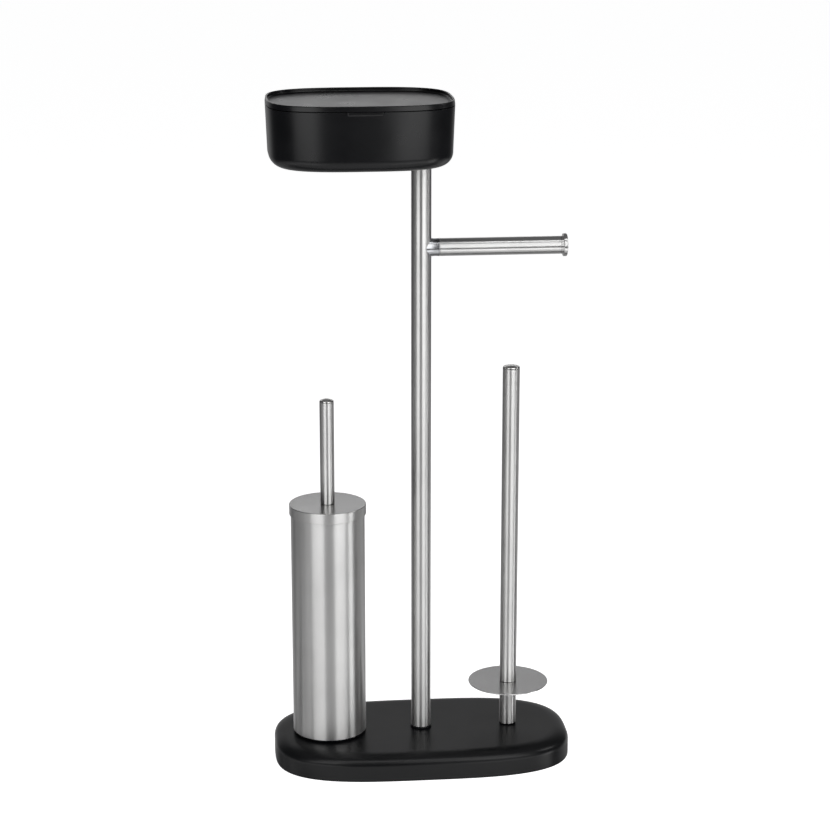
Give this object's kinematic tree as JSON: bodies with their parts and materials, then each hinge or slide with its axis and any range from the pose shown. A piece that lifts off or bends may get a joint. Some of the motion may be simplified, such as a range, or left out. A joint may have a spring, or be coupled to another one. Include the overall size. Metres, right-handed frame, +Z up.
{
  "type": "toilet paper holder",
  "caption": "Free-standing toilet butler: oval weighted base, steel column with a roll arm and a lidded box, spare-roll post, and a brush in a steel holder.",
  "frame": {"origin": "middle of the object's footprint, on the floor: the middle of the oval base, at the underside of its foot pads", "axes": "+Z up along the column, +X from the brush holder towards the spare-roll post and along the roll arm, -Y towards the user in front"},
  "size_m": [0.3048, 0.166, 0.6813],
  "materials": {
    "brushed_steel": "brushed satin stainless steel",
    "bright_steel": "polished bright",
    "zinc_steel": "dull zinc plated",
    "black_plastic": "fine satin moulded black",
    "liner_plastic": "matt moulded dark grey",
    "cast_weight": "raw cast",
    "rubber": "matt soft",
    "bristle": "matt nylon bristle"
  },
  "bodies": {
    "stand": {"column_tube": "brushed_steel", "arm_tube": "brushed_steel", "arm_end_flange": "brushed_steel", "spare_post_lower_tube": "brushed_steel", "spare_post_upper_tube": "brushed_steel", "spare_post_cap": "brushed_steel", "spare_disc": "brushed_steel", "arm_collar": "bright_steel", "column_bottom_insert": "zinc_steel", "column_bolt": "zinc_steel", "column_washer": "zinc_steel", "column_top_insert": "zinc_steel", "column_arm_plug": "zinc_steel", "arm_stud": "zinc_steel", "arm_insert": "zinc_steel", "spare_post_bottom_insert": "zinc_steel", "spare_post_bolt": "zinc_steel", "spare_post_washer": "zinc_steel", "spare_post_middle_insert": "zinc_steel", "spare_post_stud": "zinc_steel", "spare_post_upper_insert": "zinc_steel", "hinge_pin": "zinc_steel", "box_clamp_plate": "zinc_steel", "box_screw": "zinc_steel", "floor_screw_1": "zinc_steel", "floor_screw_2": "zinc_steel", "floor_screw_3": "zinc_steel", "floor_screw_4": "zinc_steel", "base_cover": "black_plastic", "base_floor_plate": "black_plastic", "column_foot_ring": "black_plastic", "spare_post_ring": "black_plastic", "box_body": "black_plastic", "base_weight": "cast_weight", "foot_pad_1": "rubber", "foot_pad_2": "rubber", "foot_pad_3": "rubber", "foot_pad_4": "rubber"},
    "lid": {"lid_shell": "black_plastic"},
    "holder": {"holder_tube": "brushed_steel", "holder_foot": "black_plastic", "holder_liner_cup": "liner_plastic"},
    "brush": {"brush_lid_cap": "brushed_steel", "brush_handle_tube": "brushed_steel", "brush_handle_cap": "brushed_steel", "brush_handle_insert": "zinc_steel", "brush_hub": "black_plastic", "brush_stem": "black_plastic", "brush_head_core": "black_plastic", "brush_bristles": "bristle"}
  },
  "joints": [
    {"name": "lid_hinge", "type": "hinge", "parent": "stand", "child": "lid", "pos_m": [-0.0604, 0.0797, 0.6752], "axis": [-1, 0, 0], "range_deg": [0, 95]},
    {"name": "holder_lift", "type": "slide", "parent": "stand", "child": "holder", "axis": [0, 0, 1], "range_m": [0, 0.008]},
    {"name": "brush_lift", "type": "slide", "parent": "holder", "child": "brush", "axis": [0, 0, 1], "range_m": [0, 0.225]}
  ]
}
